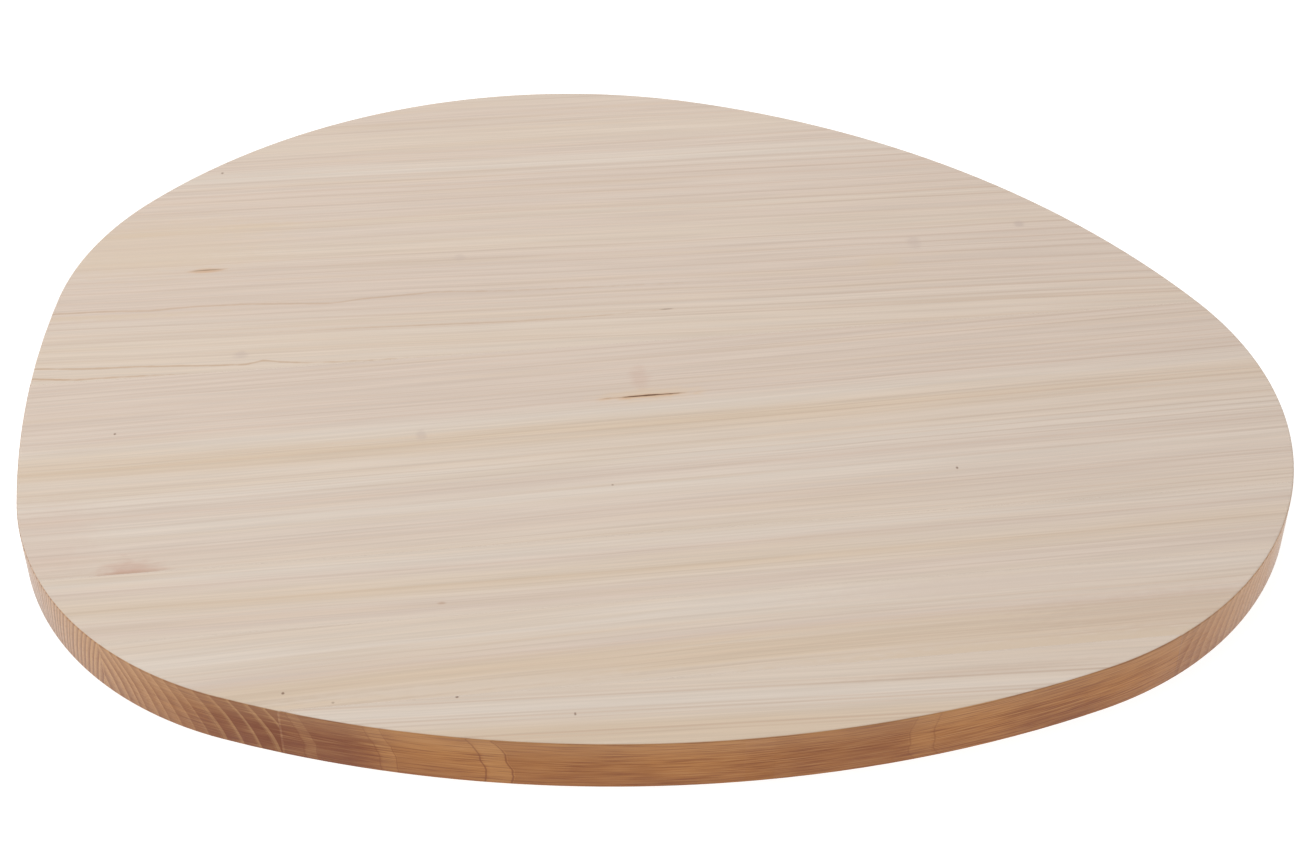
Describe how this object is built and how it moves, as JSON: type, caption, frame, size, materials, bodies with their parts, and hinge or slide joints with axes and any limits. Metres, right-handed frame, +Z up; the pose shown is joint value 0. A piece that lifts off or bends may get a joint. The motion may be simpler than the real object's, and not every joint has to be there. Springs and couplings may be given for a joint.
{
  "type": "oval cutting board",
  "caption": "Flat pebble-shaped wooden cutting board, edge-glued from straight-grained staves, with eased edges, for cutting and serving food.",
  "frame": {"origin": "on the table under the middle of the board's outline", "axes": "+X along the grain, +Y from the front edge to the back, +Z up out of the cutting face"},
  "size_m": [0.3418, 0.2884, 0.015],
  "materials": {
    "cypress": "planed and sanded, with a browner sealed edge",
    "wood_glue": "cured film"
  },
  "bodies": {
    "root": {"stave_1": "cypress", "stave_2": "cypress", "stave_3": "cypress", "stave_4": "cypress", "stave_5": "cypress", "glue_line_1": "wood_glue", "glue_line_2": "wood_glue", "glue_line_3": "wood_glue", "glue_line_4": "wood_glue"}
  },
  "joints": []
}
